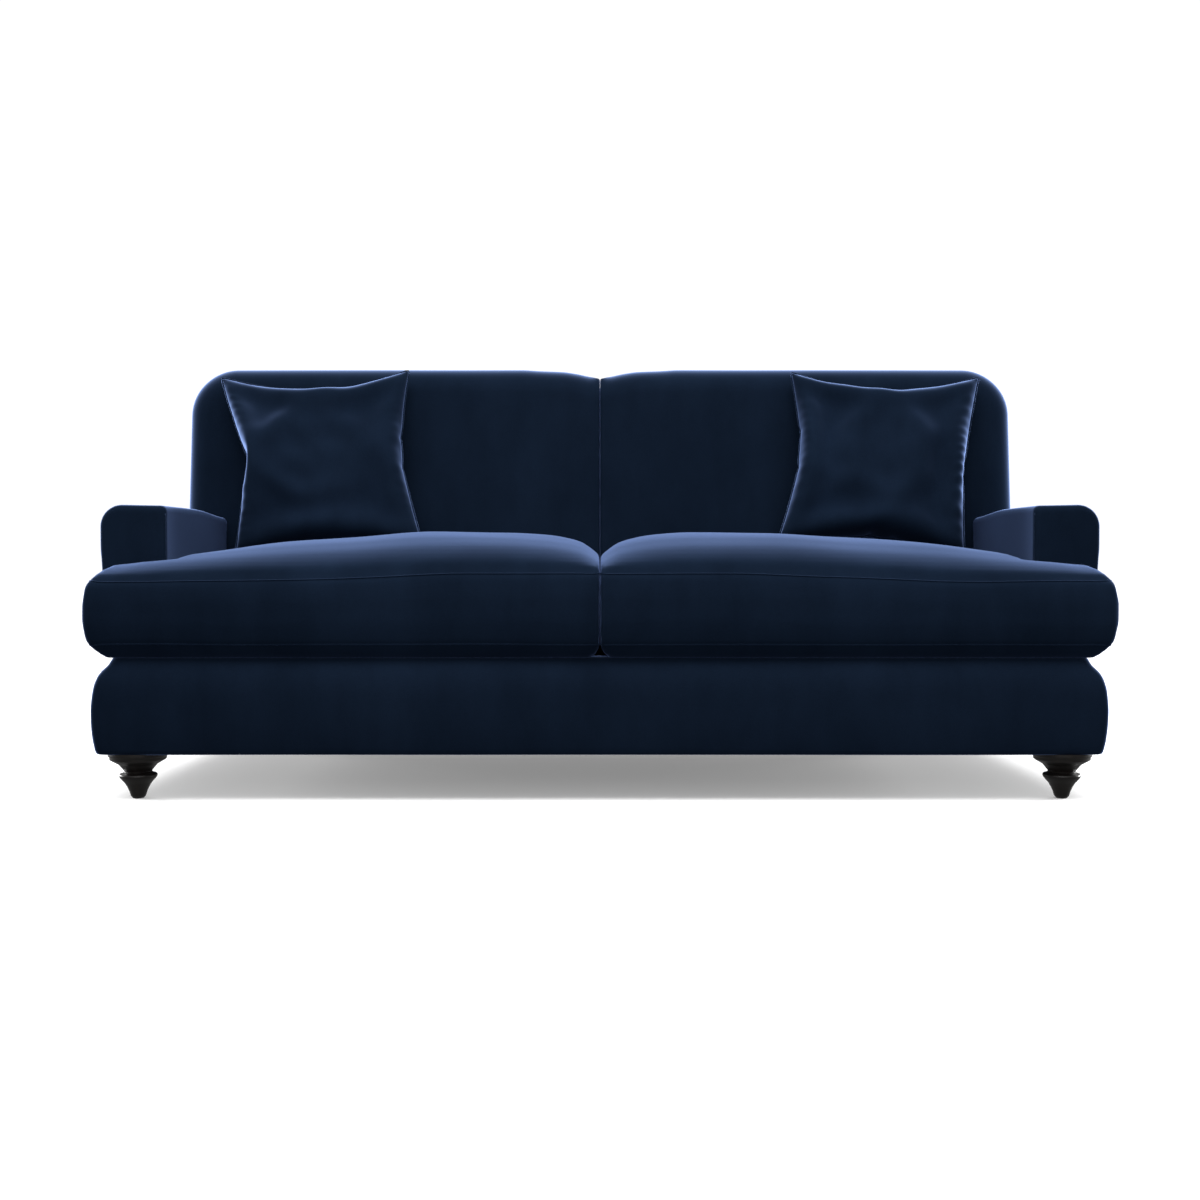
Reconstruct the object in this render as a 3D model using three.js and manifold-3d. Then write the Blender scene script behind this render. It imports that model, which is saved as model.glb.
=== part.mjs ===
// A two-cushion sofa: a timber frame with serpentine springs, fixed padded back and arms, loose boxed
// seat cushions whose wings wrap in front of the arms, two scatter cushions and four turned feet.
//
// Millimetres, +Z up. The front faces -Y and left is -X, as seen from the front. The origin is on the
// floor under the middle of the overall box. Pieces that come in mirrored pairs are drawn once, on the
// left, and their right-hand copies hang in a group that mirrors X.

import * as THREE from "three";
import { mergeVertices } from "three/addons/utils/BufferGeometryUtils.js";
import Module from "manifold-3d";

const wasm = await Module();
wasm.setup();

// ---------------------------------------------------------------- driving dimensions

const GAP = 0.4; // left between pieces that touch
const SKIN = 3; // velvet with its lining
const BOARD = 25; // sawn timber thickness
const FAR = 3000; // longer than anything, for cutting blocks

const DEPTH = 960; // overall, front of the seat cushions to the back's rear top edge
const FRONT_Y = -DEPTH / 2;
const REAR_Y = DEPTH / 2;

const LEG_HEIGHT = 91.6;
const LEG_X = 902;
const LEG_FRONT_Y = -410;
const LEG_REAR_Y = 396;
const BOLT_RADIUS = 5;
const BOLT_LENGTH = 95;
const BOLT_IN_LEG = 38;

const BASE_BOTTOM = 92;
const BASE_TOP = 275;
const BASE_HALF_WIDTH = 975;
const BASE_FRONT_Y = -472;
const BASE_BOTTOM_ROUND = 12;
const BASE_FRONT_ROUND = 30; // radius of the top edge along the front
const BASE_END_ROUND = 48; // radius of the top edge along the ends
const BASE_CORNER_ROUND = 32; // radius of the upright corners
const RAIL_BOTTOM = 98;
const RAIL_TOP = 258;
const RAIL_OUTER_X = 950;
const RAIL_FRONT_Y = -450;
const CENTRE_RAIL_TOP = 231;
const SPRING_RAIL_Y = 160;
const BLOCK_REACH = 38; // from a foot's bolt to the corner block's free sides
const BLOCK_TOP = 150;

const BACK_HALF_WIDTH = 975;
const BACK_TOP = 925;
const BACK_FOOT_Y = 150; // the back's front face at the height of the seat's underside
const RECLINE = THREE.MathUtils.degToRad(7);
const BACK_RAKE = 30; // the outside back leans this far over its height
const BACK_FOAM = 110; // from the back's front face to the webbing
const BACK_RAIL_TOP = 884;
const BACK_CORNER = 78; // radius of the outer top corners, seen from the front
const BACK_TOP_ROUND = 60; // radius of the front top edge
const CENTRE_DIP = 24; // how far the back's top dips at the middle seam
const DIP_REACH = 108;

const ARM_TOP = 577;
const ARM_FRONT_Y = -310;
const ARM_OUTER_X = 1006;
const ARM_INNER_X = 874;
const ARM_FOOT_X = 988; // the outer side draws in towards the arm's foot
const ARM_WAIST = 400;
const ARM_FOAM = 26;
const ARM_PANEL = 6;
const ARM_WAIST_ROUND = 120;
const ARM_OUTER_ROUND = 46;
const ARM_INNER_ROUND = 24;
const ARM_POST_WIDTH = 40;
const ARM_POST_SETBACK = 20; // behind the arm's front panel
const ARM_RAIL_BOTTOM = 510;

const SEAT_BOTTOM = 277;
const SEAT_CROWN = 524;
const SEAM_TOP = 437; // height of the cushions' front seam
const SEAM_DROP = 12; // how much lower the seam is at a wing's end
const SEAT_CORNER_ROUND = 32;
const SEAT_BOTTOM_ROUND = 24;
const SEAT_INNER_ROUND = 16;
const SEAT_REAR_ROUND = 14;
const SEAT_REAR_Y = 146;
const SEAT_CLEARANCE = 4; // to the arms and the back, so that the cushions lift out
const WING_X = 988;
const WING_DEPTH = ARM_FRONT_Y - SEAT_CLEARANCE - FRONT_Y;
const MIDDLE_GAP = 3; // half the gap between the two seat cushions
const ZIP_LENGTH = 640;
const ZIP_WIDTH = 12;
const ZIP_Z = 350;
const ZIP_SLIDER = 20;

const SPRING_WIRE = 2; // radius
const SPRING_SIDES = 5; // of the wire's cross-section
const SPRING_Z = 262;
const SPRINGS_PER_SEAT = 4;
const SPRING_SPACING = 190;
const SPRING_SWING = 32;
const SPRING_BENDS = 9;
const SEAT_MIDDLE_X = 445;

const SCATTER_SIZE = 440;
const SCATTER_THICKNESS = 132;
const SCATTER_CENTRE = new THREE.Vector3(-643, 112, 700);
const SCATTER_LEAN = THREE.MathUtils.degToRad(22);
const SCATTER_TURN = THREE.MathUtils.degToRad(4.5);
const FLAP_Z = -150; // the scatter cover's opening, from the cushion's middle
const FLAP_OPENING = 8;

// ---------------------------------------------------------------- materials

const material = (color, roughness, metalness = 0) =>
  new THREE.MeshStandardMaterial({ color, roughness, metalness });

const VELVET = material(0x14233d, 0.85);
const FOAM = material(0xe8dfc6, 0.95);
const TIMBER = material(0xc49a66, 0.7);
const STAINED_WOOD = material(0x17110e, 0.35);
const STEEL = material(0x9a9da1, 0.4, 0.9);
const LINING = material(0x2b2b2d, 0.95);
const FIBRE = material(0xf3f1ea, 0.95);
const HESSIAN = material(0xa58b5c, 0.95);

// ---------------------------------------------------------------- shape helpers

// Any closed three.js geometry as a solid that can be cut and joined.
function solidFrom(geometry) {
  const bare = geometry.clone();
  bare.deleteAttribute("normal");
  bare.deleteAttribute("uv");
  const merged = mergeVertices(bare, 1e-3);
  const vertProperties = merged.attributes.position.array;
  const triVerts = new Uint32Array(merged.index.array);
  return new wasm.Manifold(new wasm.Mesh({ numProp: 3, vertProperties, triVerts }));
}

function geometryFrom(solid) {
  const mesh = solid.getMesh();
  const geometry = new THREE.BufferGeometry();
  geometry.setAttribute("position", new THREE.BufferAttribute(mesh.vertProperties, 3));
  geometry.setIndex(new THREE.BufferAttribute(mesh.triVerts, 1));
  geometry.computeVertexNormals();
  return geometry;
}

function bar([x0, y0, z0], [x1, y1, z1]) {
  const geometry = new THREE.BoxGeometry(x1 - x0, y1 - y0, z1 - z0);
  return geometry.translate((x0 + x1) / 2, (y0 + y1) / 2, (z0 + z1) / 2);
}

const block = (low, high) => solidFrom(bar(low, high));

function extruded(outline, depth, xTo, yTo, depthTo) {
  const shape = outline instanceof THREE.Shape ? outline : new THREE.Shape(outline);
  const geometry = new THREE.ExtrudeGeometry(shape, { depth, bevelEnabled: false });
  return geometry.applyMatrix4(new THREE.Matrix4().makeBasis(xTo, yTo, depthTo));
}

const X = new THREE.Vector3(1, 0, 0);
const Y = new THREE.Vector3(0, 1, 0);
const Z = new THREE.Vector3(0, 0, 1);

// An outline of (y, z) points carried along X, one of (x, z) along Y, and one of (x, y) along Z.
const alongX = (outline, from, to) =>
  extruded(outline, to - from, Y, Z, X).translate(from, 0, 0);
const alongY = (outline, from, to) =>
  extruded(outline, to - from, X, Z, Y.clone().negate()).translate(0, to, 0);
const alongZ = (outline, from, to) => extruded(outline, to - from, X, Y, Z).translate(0, 0, from);

// Points round a list of [x, y, radius] corners, each radius drawn as an arc of a few chords.
function rounded(corners, chords = 4, closed = true) {
  const points = [];
  corners.forEach(([x, y, radius = 0], i) => {
    const here = new THREE.Vector2(x, y);
    const isEnd = !closed && (i === 0 || i === corners.length - 1);
    if (!radius || isEnd) {
      points.push(here);
      return;
    }
    const before = corners[(i + corners.length - 1) % corners.length];
    const after = corners[(i + 1) % corners.length];
    const back = new THREE.Vector2(before[0] - x, before[1] - y).normalize();
    const on = new THREE.Vector2(after[0] - x, after[1] - y).normalize();
    const reach = radius / Math.tan(Math.acos(back.dot(on)) / 2);
    const start = here.clone().addScaledVector(back, reach);
    const end = here.clone().addScaledVector(on, reach);
    const centre = here.clone().addScaledVector(
      back.clone().add(on).normalize(),
      Math.hypot(reach, radius),
    );
    const from = start.clone().sub(centre).angle();
    let sweep = end.clone().sub(centre).angle() - from;
    sweep -= 2 * Math.PI * Math.round(sweep / (2 * Math.PI));
    for (let k = 0; k <= chords; k++) {
      const angle = from + (sweep * k) / chords;
      const spoke = new THREE.Vector2(Math.cos(angle), Math.sin(angle));
      points.push(spoke.multiplyScalar(radius).add(centre));
    }
  });
  return points;
}

// The shape that fills a side outline (y, z) and a front outline (x, z) at once.
const carved = (side, front) =>
  solidFrom(alongX(side, -FAR, FAR)).intersect(solidFrom(alongY(front, -FAR, FAR)));

const upright = (plan) => solidFrom(alongZ(plan, -FAR, FAR));

// ---------------------------------------------------------------- feet

// The turned foot: a broad shoulder, a cove, a neck, a bead and a tapered toe, bored for its bolt.
function legGeometry() {
  const boreRadius = BOLT_RADIUS + GAP;
  const boreFloor = LEG_HEIGHT - BOLT_IN_LEG - GAP;
  const profile = [
    [0, 0],
    [10, 0],
    [14.3, 5],
    [17, 14],
    [20.5, 22],
    [26, 31],
    [32, 37.5],
    [35.5, 42],
    [36.3, 45],
    [35.5, 48],
    [29.5, 50],
    [26, 52],
    [27, 55],
    [32, 61],
    [37, 67],
    [44, 71],
    [51, 75],
    [54, 77],
    [54, 82],
    [57, 84],
    [57, LEG_HEIGHT],
    [boreRadius, LEG_HEIGHT],
    [boreRadius, boreFloor],
    [0, boreFloor],
  ].map(([radius, height]) => new THREE.Vector2(radius, height));
  return new THREE.LatheGeometry(profile, 18).rotateX(Math.PI / 2);
}

function boltGeometry() {
  const bolt = new THREE.CylinderGeometry(BOLT_RADIUS, BOLT_RADIUS, BOLT_LENGTH, 12);
  return bolt.rotateX(Math.PI / 2).translate(0, 0, LEG_HEIGHT - BOLT_IN_LEG + BOLT_LENGTH / 2);
}

function holeAt(x, y, radius) {
  const hole = new THREE.Path();
  hole.absarc(x, y, radius, 0, 2 * Math.PI);
  return hole;
}

// ---------------------------------------------------------------- timber frame

// A block in a corner of the seat frame, bored through for a foot's bolt.
function cornerBlockGeometry(boltY, railY) {
  const outerX = -(RAIL_OUTER_X - BOARD - GAP);
  const innerX = -LEG_X + BLOCK_REACH;
  const farY = boltY - Math.sign(railY) * BLOCK_REACH;
  const [low, high] = [railY, farY].sort((a, b) => a - b);
  const corners = [
    [outerX, low],
    [innerX, low],
    [innerX, high],
    [outerX, high],
  ];
  const shape = new THREE.Shape(rounded(corners));
  shape.holes.push(holeAt(-LEG_X, boltY, BOLT_RADIUS + GAP));
  return alongZ(shape, RAIL_BOTTOM, BLOCK_TOP);
}

// The back's front face and outside face lean: where each is at a given height.
const backFrontY = (z) => BACK_FOOT_Y + (z - SEAT_BOTTOM) * Math.tan(RECLINE);
const backRearY = (z) => REAR_Y - (BACK_RAKE * (BACK_TOP - z)) / (BACK_TOP - BASE_BOTTOM);

// A back post: a board whose front edge follows the recline and whose rear edge follows the rake.
function backPostGeometry(centreX, bottom, top) {
  const frontY = (z) => backFrontY(z) + BACK_FOAM + SKIN;
  const rearY = (z) => backRearY(z) - BOARD;
  const outline = [
    new THREE.Vector2(frontY(bottom), bottom),
    new THREE.Vector2(rearY(bottom), bottom),
    new THREE.Vector2(rearY(top), top),
    new THREE.Vector2(frontY(top), top),
  ];
  return alongX(outline, centreX - BOARD / 2, centreX + BOARD / 2);
}

// ---------------------------------------------------------------- springs, webbing and deck

// One row of serpentine springs for a seat, joined by two tie wires.
function springSetGeometry() {
  const wire = new THREE.Shape(
    Array.from({ length: SPRING_SIDES }, (_, k) => {
      const angle = (k * 2 * Math.PI) / SPRING_SIDES;
      return new THREE.Vector2(Math.cos(angle), Math.sin(angle)).multiplyScalar(SPRING_WIRE);
    }),
  );
  const frontY = RAIL_FRONT_Y + BOARD / 2;
  const rearY = SPRING_RAIL_Y + BOARD / 2;
  const pitch = (rearY - frontY) / (SPRING_BENDS + 1);
  let set = null;
  for (let k = 0; k < SPRINGS_PER_SEAT; k++) {
    const x = -SEAT_MIDDLE_X + (k - (SPRINGS_PER_SEAT - 1) / 2) * SPRING_SPACING;
    const points = [new THREE.Vector3(x, frontY, SPRING_Z)];
    for (let bend = 0; bend < SPRING_BENDS; bend++) {
      const swing = bend % 2 ? -SPRING_SWING : SPRING_SWING;
      const y = frontY + pitch * (bend + 0.65);
      points.push(new THREE.Vector3(x + swing, y, SPRING_Z));
      points.push(new THREE.Vector3(x + swing, y + 0.7 * pitch, SPRING_Z));
    }
    points.push(new THREE.Vector3(x, rearY, SPRING_Z));
    const extrudePath = new THREE.CatmullRomCurve3(points, false, "catmullrom", 0.5);
    const spring = solidFrom(new THREE.ExtrudeGeometry(wire, { steps: 36, extrudePath }));
    set = set ? set.add(spring) : spring;
  }
  const tieLength = SPRING_SPACING * (SPRINGS_PER_SEAT - 1) + 2 * SPRING_SWING + BOARD;
  for (const part of [0.3, 0.7]) {
    const tie = new THREE.CylinderGeometry(SPRING_WIRE - GAP, SPRING_WIRE - GAP, tieLength, 6);
    tie.rotateZ(Math.PI / 2).translate(-SEAT_MIDDLE_X, frontY + part * (rearY - frontY), SPRING_Z);
    set = set.add(solidFrom(tie));
  }
  return geometryFrom(set);
}

// Webbing stretched over the front edges of the back posts.
function webbingGeometry() {
  const frontY = (z) => backFrontY(z) + BACK_FOAM;
  const bottom = SEAT_BOTTOM + 3 * SKIN;
  const top = BACK_RAIL_TOP - SKIN;
  const outline = [
    new THREE.Vector2(frontY(bottom), bottom),
    new THREE.Vector2(frontY(bottom) + SKIN - GAP, bottom),
    new THREE.Vector2(frontY(top) + SKIN - GAP, top),
    new THREE.Vector2(frontY(top), top),
  ];
  return alongX(outline, -RAIL_OUTER_X + 1, RAIL_OUTER_X - 1);
}

// ---------------------------------------------------------------- base upholstery

// The padded base as a solid, its sides drawn in by an inset. An open one runs on through its rear.
function baseSolid(inset, open = false) {
  const bottom = BASE_BOTTOM + inset;
  const top = BASE_TOP - inset;
  const front = BASE_FRONT_Y + inset;
  const half = BASE_HALF_WIDTH - inset;
  const rear = (z) => (open ? FAR : backRearY(z) - SKIN - GAP);
  const side = rounded([
    [front, bottom, BASE_BOTTOM_ROUND],
    [rear(bottom), bottom],
    [rear(top), top],
    [front, top, BASE_FRONT_ROUND - inset],
  ]);
  const face = rounded([
    [-half, bottom, BASE_BOTTOM_ROUND],
    [half, bottom, BASE_BOTTOM_ROUND],
    [half, top, BASE_END_ROUND - inset],
    [-half, top, BASE_END_ROUND - inset],
  ]);
  const plan = rounded([
    [-half, front, BASE_CORNER_ROUND - inset],
    [half, front, BASE_CORNER_ROUND - inset],
    [half, FAR],
    [-half, FAR],
  ]);
  return carved(side, face).intersect(upright(plan));
}

// The cover round the front and sides of the base, turned in at the top and bottom edges.
function baseCover() {
  const topOpening = block(
    [-RAIL_OUTER_X - 2, RAIL_FRONT_Y + BOARD / 2, RAIL_TOP],
    [RAIL_OUTER_X + 2, FAR, BASE_TOP + 1],
  );
  const underOpening = block(
    [-RAIL_OUTER_X + 10, RAIL_FRONT_Y + 10, BASE_BOTTOM - 1],
    [RAIL_OUTER_X - 10, FAR, RAIL_BOTTOM],
  );
  return baseSolid(0)
    .subtract(baseSolid(SKIN, true))
    .subtract(topOpening)
    .subtract(underOpening);
}

const frontStretch = (y) => block([-FAR, -FAR, 0], [FAR, y, FAR]);
const leftStretch = (x, y) => block([-FAR, y, 0], [x, FAR, FAR]);

// The thin sheet under the base, with a hole for each foot's bolt.
function dustCoverGeometry() {
  const halfWidth = RAIL_OUTER_X - 5;
  const front = RAIL_FRONT_Y + 4;
  const rear = backRearY(BASE_BOTTOM) - 3 * SKIN;
  const shape = new THREE.Shape(
    rounded([
      [-halfWidth, front, 10],
      [halfWidth, front, 10],
      [halfWidth, rear, 10],
      [-halfWidth, rear, 10],
    ]),
  );
  for (const x of [-LEG_X, LEG_X]) {
    for (const y of [LEG_FRONT_Y, LEG_REAR_Y]) {
      shape.holes.push(holeAt(x, y, BOLT_RADIUS + 1));
    }
  }
  return alongZ(shape, BASE_BOTTOM + SKIN + GAP, RAIL_BOTTOM - 1);
}

// ---------------------------------------------------------------- arms

// The left arm's outline seen from the front. A low bottom leaves a cutter open underneath.
function armOutline(inset, bottom) {
  return rounded([
    [-ARM_FOOT_X + inset, bottom],
    [-ARM_FOOT_X + inset, SEAT_BOTTOM],
    [-ARM_OUTER_X + inset, ARM_WAIST, ARM_WAIST_ROUND],
    [-ARM_OUTER_X + inset, ARM_TOP - inset, ARM_OUTER_ROUND],
    [-ARM_INNER_X - inset, ARM_TOP - inset, ARM_INNER_ROUND],
    [-ARM_INNER_X - inset, bottom],
  ].slice(bottom < SEAT_BOTTOM ? 0 : 1));
}

// The arm behind its front panel, ended where it meets the leaning back.
function armSolid(inset) {
  const outline = armOutline(inset, SEAT_BOTTOM);
  const length = solidFrom(alongY(outline, ARM_FRONT_Y + ARM_PANEL + GAP, FAR));
  return length.subtract(behindBackFace(-GAP));
}

// Everything behind the back's front face, moved back by a distance.
function behindBackFace(setback, top = FAR, outerX = FAR) {
  const outline = [
    new THREE.Vector2(backFrontY(-FAR) + setback, -FAR),
    new THREE.Vector2(FAR, -FAR),
    new THREE.Vector2(FAR, top),
    new THREE.Vector2(backFrontY(top) + setback, top),
  ];
  return solidFrom(alongX(outline, -outerX, FAR));
}

// The arm's hollow, open underneath and at both ends.
const armHollow = (inset) => solidFrom(alongY(armOutline(inset, 0), -FAR, FAR));

const armCover = () => armSolid(0).subtract(armHollow(SKIN));
const armPad = () => armSolid(SKIN + GAP).subtract(armHollow(SKIN + GAP + ARM_FOAM));

// ---------------------------------------------------------------- back

// The back's outline from the front: the left half, or both halves. Its outer top corners are round,
// and its top dips to the middle seam.
function backOutline(inset, innerX, bottom) {
  const half = BACK_HALF_WIDTH - inset;
  const top = BACK_TOP - inset;
  const corner = rounded(
    [
      [-half, bottom],
      [-half, top, BACK_CORNER - inset],
      [-DIP_REACH, top],
    ],
    6,
    false,
  );
  const dip = [];
  for (let k = 1; k <= 3; k++) {
    dip.push(new THREE.Vector2(-DIP_REACH * (1 - k / 3), top - CENTRE_DIP * (k / 3) ** 2));
  }
  const left = [...corner, ...dip];
  const right =
    innerX === 0
      ? [new THREE.Vector2(0, bottom)]
      : left.slice(0, -1).map((point) => new THREE.Vector2(-point.x, point.y)).reverse();
  return [...left, ...right].reverse();
}

// The left half of the back. An open one runs on through its bottom, rear and inner side.
function backSolid(inset, open = false) {
  const bottom = open ? 0 : SEAT_BOTTOM + GAP;
  const top = BACK_TOP - inset;
  const rear = (z) => (open ? FAR : backRearY(z) - SKIN - GAP);
  const side = rounded([
    [backFrontY(bottom) + inset, bottom],
    [rear(bottom), bottom],
    [rear(top), top],
    [backFrontY(top) + inset, top, BACK_TOP_ROUND - inset],
  ]);
  const solid = carved(side, backOutline(inset, open ? BACK_HALF_WIDTH : 0, bottom));
  return open ? solid : solid.subtract(block([-GAP / 2, -FAR, -FAR], [FAR, FAR, FAR]));
}

const backCover = () => backSolid(0).subtract(backSolid(SKIN, true));

// Foam over the front, top and outer side of the back's frame.
const backPad = () =>
  backSolid(SKIN + GAP).subtract(
    behindBackFace(BACK_FOAM - GAP, BACK_RAIL_TOP + GAP, RAIL_OUTER_X + GAP),
  );

function backOutsideCover() {
  const bottom = BASE_BOTTOM;
  const side = [
    new THREE.Vector2(backRearY(bottom) - SKIN, bottom),
    new THREE.Vector2(backRearY(bottom), bottom),
    new THREE.Vector2(backRearY(BACK_TOP), BACK_TOP),
    new THREE.Vector2(backRearY(BACK_TOP) - SKIN, BACK_TOP),
  ];
  return carved(side, backOutline(0, BACK_HALF_WIDTH, bottom));
}

// ---------------------------------------------------------------- seat cushions

const curveThrough = (points, chords) =>
  new THREE.SplineCurve(points.map(([x, y]) => new THREE.Vector2(x, y))).getPoints(chords);

// The left seat cushion: an L in plan. Its two crowns, seen from the side and from the front, run
// through points measured from the cushion's edges and its highest level.
function seatSolid(inset) {
  const outer = -WING_X + inset;
  const inner = -MIDDLE_GAP - inset;
  const front = FRONT_Y + inset;
  const rear = SEAT_REAR_Y - inset;
  const armSide = -ARM_INNER_X + SEAT_CLEARANCE + inset;
  const wingRear = FRONT_Y + WING_DEPTH - inset;
  const bottom = SEAT_BOTTOM + inset;
  const seam = SEAM_TOP - inset;
  const crown = SEAT_CROWN - inset;
  const plan = rounded([
    [outer, front, SEAT_CORNER_ROUND - inset],
    [inner, front, SEAT_CORNER_ROUND - inset],
    [inner, rear, SEAT_REAR_ROUND - inset],
    [armSide, rear, SEAT_REAR_ROUND - inset],
    [armSide, wingRear],
    [outer, wingRear, SEAT_BOTTOM_ROUND - inset],
  ]);
  const sideCrown = [
    [front, seam],
    [front + 75, crown - 30],
    [front + 190, crown],
    [front + 310, crown],
    [front + 440, crown - 24],
    [rear - 90, crown - 58],
    [rear, seam],
  ];
  const sideBottom = [
    [rear, seam],
    [rear, bottom, SEAT_REAR_ROUND],
    [front, bottom, SEAT_BOTTOM_ROUND],
    [front, seam],
  ];
  const side = [
    ...rounded(sideBottom, 3, false),
    ...curveThrough(sideCrown, 14).slice(1, -1),
  ];
  const frontCrown = [
    [outer, seam - SEAM_DROP],
    [outer + 34, seam + 18],
    [outer + 190, crown - 36],
    [outer + 430, crown - 11],
    [inner - 280, crown],
    [inner - 110, crown - 6],
    [inner - 38, crown - 24],
    [inner, seam + 30],
  ];
  const faceBottom = [
    [inner, seam],
    [inner, bottom, SEAT_INNER_ROUND],
    [outer, bottom, SEAT_BOTTOM_ROUND],
    [outer, seam - SEAM_DROP - 1],
  ];
  const face = [...rounded(faceBottom, 3, false), ...curveThrough(frontCrown, 16)];
  return carved(side.reverse(), face.reverse()).intersect(upright(plan));
}

const zipMiddleX = -(WING_X + MIDDLE_GAP) / 2;

// The cover is open along its zip, at the rear.
const seatCover = () =>
  seatSolid(0)
    .subtract(seatSolid(SKIN))
    .subtract(
      block(
        [zipMiddleX - ZIP_LENGTH / 2, SEAT_REAR_Y - 2 * SKIN, ZIP_Z - ZIP_WIDTH / 2],
        [zipMiddleX + ZIP_LENGTH / 2, SEAT_REAR_Y + SKIN, ZIP_Z + ZIP_WIDTH / 2],
      ),
    );

const zipSliderGeometry = () =>
  bar(
    [zipMiddleX - ZIP_LENGTH / 2 + 2, SEAT_REAR_Y - SKIN + GAP, ZIP_Z - ZIP_WIDTH / 2 + 1],
    [zipMiddleX - ZIP_LENGTH / 2 + 2 + ZIP_SLIDER, SEAT_REAR_Y + 1, ZIP_Z + ZIP_WIDTH / 2 - 1],
  );

// ---------------------------------------------------------------- scatter cushions

// A knife-edged square cushion standing in the XZ plane, thickest in the middle.
function pillowSolid(inset) {
  const half = SCATTER_SIZE / 2 - 3 * inset;
  const thickness = SCATTER_THICKNESS / 2 - inset;
  const cells = 10;
  const positions = [];
  const corner = (side, i, k) => {
    const u = (2 * i) / cells - 1;
    const v = (2 * k) / cells - 1;
    const swell = Math.sqrt((1 - u * u) * (1 - v * v));
    const drawnIn = 1 - 0.06 * (1 - v * v) * Math.abs(u);
    const drawnDown = 1 - 0.04 * (1 - u * u) * Math.abs(v);
    positions.push(half * u * drawnIn, side * thickness * swell, half * v * drawnDown);
  };
  for (const side of [-1, 1]) {
    for (let i = 0; i < cells; i++) {
      for (let k = 0; k < cells; k++) {
        const ring = [[i, k], [i + 1, k], [i + 1, k + 1], [i, k + 1]];
        const order = side < 0 ? [0, 1, 2, 0, 2, 3] : [0, 2, 1, 0, 3, 2];
        order.forEach((at) => corner(side, ...ring[at]));
      }
    }
  }
  const geometry = new THREE.BufferGeometry();
  geometry.setAttribute("position", new THREE.Float32BufferAttribute(positions, 3));
  return solidFrom(geometry);
}

// The cover is open at a flap low on its rear.
const scatterCover = () =>
  pillowSolid(0)
    .subtract(pillowSolid(SKIN))
    .subtract(
      block(
        [-SCATTER_SIZE / 3, 0, FLAP_Z],
        [SCATTER_SIZE / 3, SCATTER_THICKNESS, FLAP_Z + FLAP_OPENING],
      ),
    );

// ---------------------------------------------------------------- assembly

const sofa = new THREE.Group();
const mirror = new THREE.Group();
mirror.scale.x = -1;
sofa.add(mirror);

function add(name, geometry, finish, parent = sofa) {
  const mesh = new THREE.Mesh(geometry, finish);
  mesh.name = name;
  parent.add(mesh);
  return mesh;
}

function addPair(name, geometry, finish) {
  const left = add(`${name}_left`, geometry, finish);
  const right = add(`${name}_right`, geometry, finish, mirror);
  return [left, right];
}

const insideRail = RAIL_OUTER_X - BOARD - GAP;
const frontRailRear = RAIL_FRONT_Y + BOARD;
const rearRailFront = backRearY(BASE_BOTTOM) - SKIN - GAP - BOARD;

add(
  "front_rail",
  bar([-RAIL_OUTER_X, RAIL_FRONT_Y, RAIL_BOTTOM], [RAIL_OUTER_X, frontRailRear, RAIL_TOP]),
  TIMBER,
);
add(
  "rear_rail",
  bar(
    [-RAIL_OUTER_X, rearRailFront, RAIL_BOTTOM],
    [RAIL_OUTER_X, rearRailFront + BOARD, CENTRE_RAIL_TOP],
  ),
  TIMBER,
);
addPair(
  "side_rail",
  bar(
    [-RAIL_OUTER_X, frontRailRear + GAP, RAIL_BOTTOM],
    [-RAIL_OUTER_X + BOARD, rearRailFront - GAP, RAIL_TOP],
  ),
  TIMBER,
);
add(
  "centre_rail",
  bar(
    [-BOARD / 2, frontRailRear + GAP, RAIL_BOTTOM],
    [BOARD / 2, rearRailFront - GAP, CENTRE_RAIL_TOP],
  ),
  TIMBER,
);
add(
  "spring_rail",
  bar(
    [-insideRail, SPRING_RAIL_Y, CENTRE_RAIL_TOP + GAP],
    [insideRail, SPRING_RAIL_Y + BOARD, RAIL_TOP],
  ),
  TIMBER,
);
addPair("corner_block_front", cornerBlockGeometry(LEG_FRONT_Y, frontRailRear + GAP), TIMBER);
addPair("corner_block_rear", cornerBlockGeometry(LEG_REAR_Y, rearRailFront - GAP), TIMBER);

const armPosts = {
  arm_post_front: ARM_FRONT_Y + ARM_POST_SETBACK,
  arm_post_rear: SEAT_REAR_Y - 5 - ARM_POST_WIDTH,
};
for (const [name, y] of Object.entries(armPosts)) {
  const low = [-RAIL_OUTER_X, y, RAIL_TOP + GAP];
  const high = [-RAIL_OUTER_X + BOARD, y + ARM_POST_WIDTH, ARM_RAIL_BOTTOM - GAP];
  addPair(name, bar(low, high), TIMBER);
}
addPair(
  "arm_rail",
  bar(
    [-RAIL_OUTER_X - 5, ARM_FRONT_Y + ARM_POST_SETBACK, ARM_RAIL_BOTTOM],
    [-RAIL_OUTER_X + BOARD + 5, SEAT_REAR_Y - 5, ARM_RAIL_BOTTOM + BOARD],
  ),
  TIMBER,
);

const sidePostX = -RAIL_OUTER_X + BOARD / 2;
addPair("back_post", backPostGeometry(sidePostX, RAIL_TOP + GAP, BACK_RAIL_TOP), TIMBER);
const centrePostTop = BACK_RAIL_TOP - 2 * BOARD;
add("back_post_centre", backPostGeometry(0, CENTRE_RAIL_TOP + GAP, centrePostTop), TIMBER);
add(
  "back_top_rail",
  bar(
    [-insideRail, backFrontY(BACK_RAIL_TOP) + BACK_FOAM + SKIN, centrePostTop + GAP],
    [insideRail, REAR_Y - 2 * BOARD, BACK_RAIL_TOP],
  ),
  TIMBER,
);
add("back_webbing", webbingGeometry(), HESSIAN);

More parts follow.
